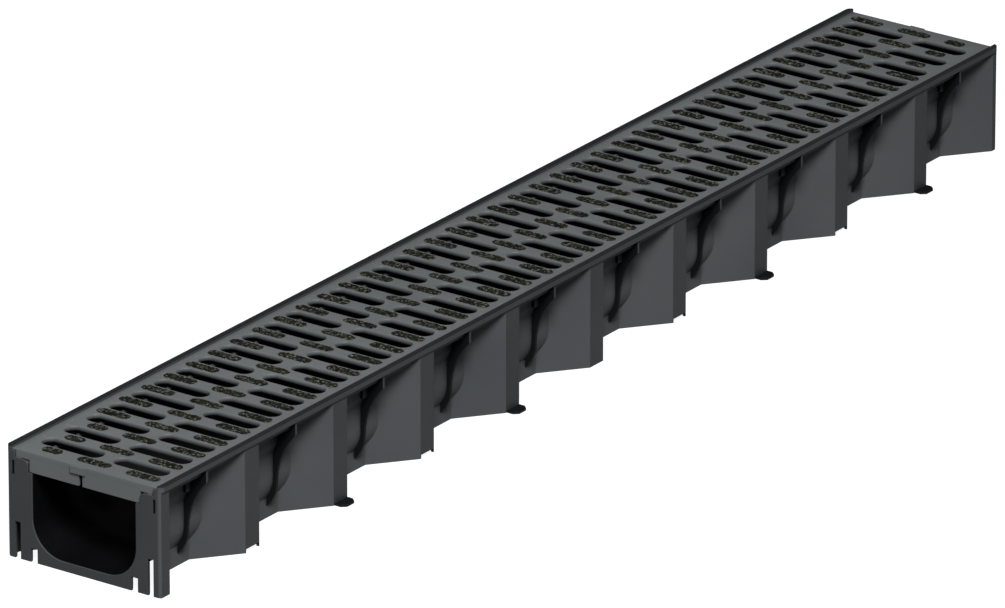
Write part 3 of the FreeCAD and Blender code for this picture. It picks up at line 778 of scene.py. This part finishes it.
class DRAINAGE_OT_build_grips(bpy.types.Operator):
    """Models the gritty grip pads on the grating's bars"""

    bl_idname = "drainage.build_grips"
    bl_label = "Build the grip pads"

    def pad_row(self, sizes, plate, low, high, first, count):
        """Pads of one length in a row along the channel."""
        bpy.ops.object.select_all(action="DESELECT")
        across = max(3, round((high - low) / sizes.step))
        along = max(3, round(sizes.width / sizes.step))
        start = -plate.pitch * plate.rows / 2 + first * plate.pitch
        middle = (low + high) / 2
        bpy.ops.mesh.primitive_grid_add(
            x_subdivisions=along, y_subdivisions=across, size=1,
            location=(start, middle, plate.top + sizes.height),
        )
        piece = bpy.context.active_object
        piece.name = "grip_pads"
        piece.scale = (sizes.width, high - low, 1.0)
        settle(piece)
        bpy.ops.object.mode_set(mode="EDIT")
        flat = sizes.width / 2 - sizes.corner
        straight = (high - low) / 2 - sizes.corner

        def beyond(vert):
            """Whether a vertex lies outside the pad's ragged outline."""
            reach = math.hypot(
                max(0.0, abs(vert.co.x - start) - flat), max(0.0, abs(vert.co.y - middle) - straight)
            )
            slant = math.sin(RAGGED_SLANT * (vert.co.x + vert.co.y) + 1.0)
            stray = math.sin(RAGGED_ACROSS * vert.co.y) * slant
            return reach > sizes.corner - sizes.ragged * (0.5 + 0.5 * stray) + sizes.step / 2

        pick(piece, "VERT", beyond)
        bpy.ops.mesh.delete(type="VERT")
        pick(piece, "EDGE", lambda e: e.is_boundary)
        down = (0.0, 0.0, -sizes.height - sizes.root)
        bpy.ops.mesh.extrude_region_move(TRANSFORM_OT_translate={"value": down})
        bpy.ops.object.mode_set(mode="OBJECT")
        row(piece, plate.pitch, count)
        return piece

    def execute(self, context):
        sizes = context.scene.drainage_grip
        plate = context.scene.drainage_grating
        finish = context.scene.drainage_finish
        rows = plate.rows + 1
        inner = sizes.spread - sizes.long / 2
        outer = sizes.spread + sizes.long / 2
        part = inner + sizes.short
        rest = rows - sizes.short_rows
        pads = [
            self.pad_row(sizes, plate, -sizes.long / 2, sizes.long / 2, 0, rows),
            self.pad_row(sizes, plate, inner, outer, sizes.short_rows, rest),
            self.pad_row(sizes, plate, inner, part, 0, sizes.short_rows),
            self.pad_row(sizes, plate, -outer, -inner, 0, rest),
            self.pad_row(sizes, plate, -part, -inner, rest, sizes.short_rows),
        ]
        piece = merge_pieces(*pads)
        grit = bpy.data.textures.new("grit", "VORONOI")
        grit.noise_scale = sizes.grain
        grit.distance_metric = "DISTANCE"
        grit.noise_intensity = 1.0
        apply_modifier(
            piece, "DISPLACE", texture=grit, direction="Z", strength=-sizes.relief, mid_level=0.35,
            texture_coords="LOCAL",
        )
        material = bonded_grit("bonded_grit", tuple(finish.grit), tuple(finish.grit_pale))
        finish_piece(piece, material, "grating_plastic")
        return {"FINISHED"}


class DRAINAGE_OT_set_stage(bpy.types.Operator):
    """Sets a white floor, soft studio lamps and the camera"""

    bl_idname = "drainage.set_stage"
    bl_label = "Set the stage"

    def floor(self, settings):
        """A wide floor that shows white to the camera and still takes a faint shadow."""
        bpy.ops.object.select_all(action="DESELECT")
        bpy.ops.mesh.primitive_plane_add(size=120.0, location=(0.0, 0.0, cad_low.z - FLOOR_GAP))
        floor = bpy.context.active_object
        floor.name = "floor"
        material, tree, shader = new_material("white_floor")
        shader.inputs["Base Color"].default_value = (*settings.floor, 1.0)
        shader.inputs["Roughness"].default_value = 0.9
        shader.inputs["Specular IOR Level"].default_value = 0.0
        path = tree.nodes.new("ShaderNodeLightPath")
        seen = calculate(tree, "MULTIPLY", path.outputs["Is Camera Ray"], settings.floor_glow)
        through = calculate(tree, "ADD", path.outputs["Is Glossy Ray"], path.outputs["Is Transmission Ray"])
        mirrored = calculate(tree, "MULTIPLY", through, settings.floor_mirrored)
        strength = calculate(tree, "ADD", seen, mirrored)
        glow = tree.nodes.new("ShaderNodeEmission")
        add = tree.nodes.new("ShaderNodeAddShader")
        tree.links.new(strength, glow.inputs["Strength"])
        tree.links.new(shader.outputs[0], add.inputs[0])
        tree.links.new(glow.outputs[0], add.inputs[1])
        tree.links.new(add.outputs[0], tree.nodes["Material Output"].inputs["Surface"])
        floor.data.materials.append(material)

    def lamp(self, name, place, size, power, mirrored=True):
        """A soft square lamp aimed at the channel's middle, seen in reflections or not."""
        bpy.ops.object.light_add(type="AREA", location=place)
        lamp = bpy.context.active_object
        lamp.name = name
        lamp.data.shape = "SQUARE"
        lamp.data.size = size
        lamp.data.energy = power
        lamp.visible_glossy = mirrored
        lamp.rotation_euler = Vector(place).to_track_quat("Z", "Y").to_euler()

    def sky(self, settings):
        """Even light from all round, white to the camera."""
        world = bpy.data.worlds.new("studio")
        bpy.context.scene.world = world
        world.use_nodes = True
        tree = world.node_tree
        ground = tree.nodes["Background"]
        ground.inputs["Color"].default_value = (1.0, 1.0, 1.0, 1.0)
        ground.inputs["Strength"].default_value = settings.sky
        shown = tree.nodes.new("ShaderNodeBackground")
        shown.inputs["Color"].default_value = (1.0, 1.0, 1.0, 1.0)
        path = tree.nodes.new("ShaderNodeLightPath")
        mix = tree.nodes.new("ShaderNodeMixShader")
        tree.links.new(path.outputs["Is Camera Ray"], mix.inputs["Fac"])
        tree.links.new(ground.outputs[0], mix.inputs[1])
        tree.links.new(shown.outputs[0], mix.inputs[2])
        tree.links.new(mix.outputs[0], tree.nodes["World Output"].inputs["Surface"])

    def camera(self, settings):
        """The camera at the photograph's viewing angle."""
        turn, rise_angle = settings.azimuth, settings.elevation
        level = math.cos(rise_angle)
        back = Vector((math.sin(turn) * level, -math.cos(turn) * level, math.sin(rise_angle)))
        right = Vector((math.cos(turn), math.sin(turn), 0.0))
        up = back.cross(right)
        middle = Vector((0.0, 0.0, (cad_low.z + cad_high.z) / 2))
        bpy.ops.object.camera_add()
        camera = bpy.context.active_object
        camera.name = "camera"
        camera.data.lens = settings.lens
        camera.data.sensor_width = 36.0
        camera.data.clip_end = 200.0
        place = middle + back * settings.distance - right * settings.slide[0] - up * settings.slide[1]
        camera.matrix_world = Matrix.Translation(place) @ Matrix((right, up, back)).transposed().to_4x4()
        bpy.context.scene.camera = camera

    def execute(self, context):
        settings = context.scene.drainage_stage
        self.floor(settings)
        self.sky(settings)
        self.lamp("key_lamp", tuple(settings.key_place), settings.key_size, settings.key)
        self.lamp("fill_lamp", tuple(settings.fill_place), settings.fill_size, settings.fill, mirrored=False)
        self.camera(settings)
        context.scene.view_settings.view_transform = "Standard"
        return {"FINISHED"}


class DRAINAGE_PT_panel(bpy.types.Panel):
    """Lists the pieces in the order they are made"""

    bl_idname = "DRAINAGE_PT_panel"
    bl_label = "Drainage channel"
    bl_space_type = "VIEW_3D"
    bl_region_type = "UI"
    bl_category = "Drainage channel"

    def draw(self, context):
        for operator in OPERATORS:
            self.layout.operator(operator.bl_idname)


OPERATORS = (
    DRAINAGE_OT_dress_body,
    DRAINAGE_OT_build_grating,
    DRAINAGE_OT_build_grips,
    DRAINAGE_OT_set_stage,
)
SETTINGS = {
    "drainage_body": DrainageBodySizes,
    "drainage_grating": DrainageGratingSizes,
    "drainage_grip": DrainageGripSizes,
    "drainage_finish": DrainageFinish,
    "drainage_stage": DrainageStageSettings,
}


def register():
    for group in SETTINGS.values():
        bpy.utils.register_class(group)
    for name, group in SETTINGS.items():
        setattr(bpy.types.Scene, name, bpy.props.PointerProperty(type=group))
    for operator in OPERATORS:
        bpy.utils.register_class(operator)
    bpy.utils.register_class(DRAINAGE_PT_panel)


def unregister():
    bpy.utils.unregister_class(DRAINAGE_PT_panel)
    for operator in reversed(OPERATORS):
        bpy.utils.unregister_class(operator)
    for name, group in SETTINGS.items():
        delattr(bpy.types.Scene, name)
        bpy.utils.unregister_class(group)


def main():
    register()
    bpy.ops.drainage.dress_body()
    bpy.ops.drainage.build_grating()
    bpy.ops.drainage.build_grips()
    bpy.ops.drainage.set_stage()


if __name__ == "__main__":
    main()
